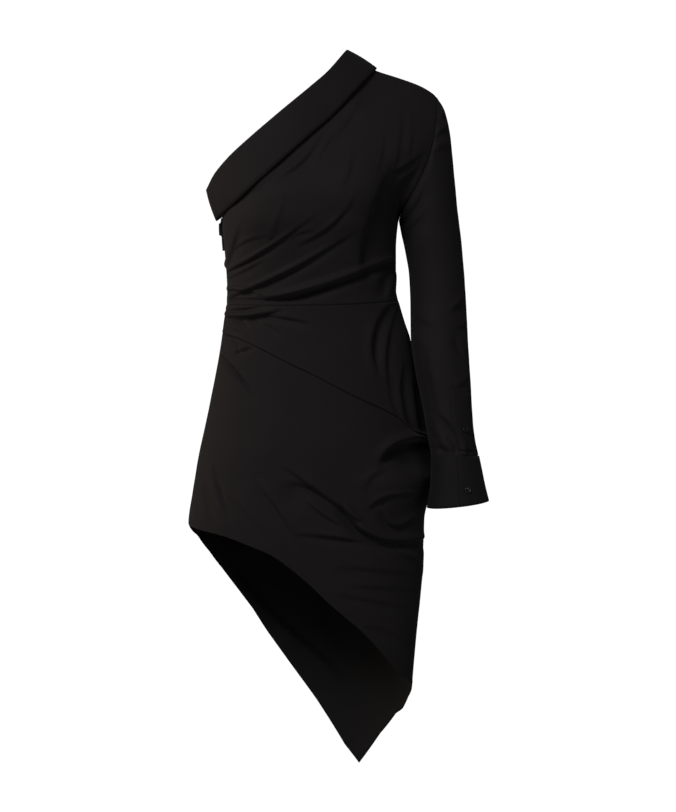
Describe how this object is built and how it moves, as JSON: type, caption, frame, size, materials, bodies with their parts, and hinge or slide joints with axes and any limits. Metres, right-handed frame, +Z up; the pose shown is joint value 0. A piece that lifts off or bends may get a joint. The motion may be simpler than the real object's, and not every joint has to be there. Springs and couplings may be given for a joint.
{
  "type": "one-shoulder shirt-cloth dress",
  "caption": "One-shoulder dress of plain shirt cloth with a folded collar, a long cuffed sleeve, a bodice gathered at the side and a slanting, pointed hem.",
  "frame": {"origin": "inner top of the wearer's left shoulder, where the dress hangs on its wearer", "axes": "+X to the wearer's left, +Y to the back, +Z up"},
  "size_m": [0.4763, 0.2586, 1.1472],
  "materials": {
    "cloth": "plain woven black cotton with a faint sheen",
    "tape": "matt black closing tape",
    "button": "glossy black"
  },
  "bodies": {
    "root": {"front_bodice": "cloth", "front_wrap": "cloth", "front_skirt": "cloth", "back_bodice": "cloth", "back_skirt": "cloth", "collar": "cloth", "sleeve": "cloth", "cuff": "cloth", "sleeve_placket": "cloth", "side_closure": "tape", "placket_button": "button", "cuff_button": "button"}
  },
  "joints": []
}
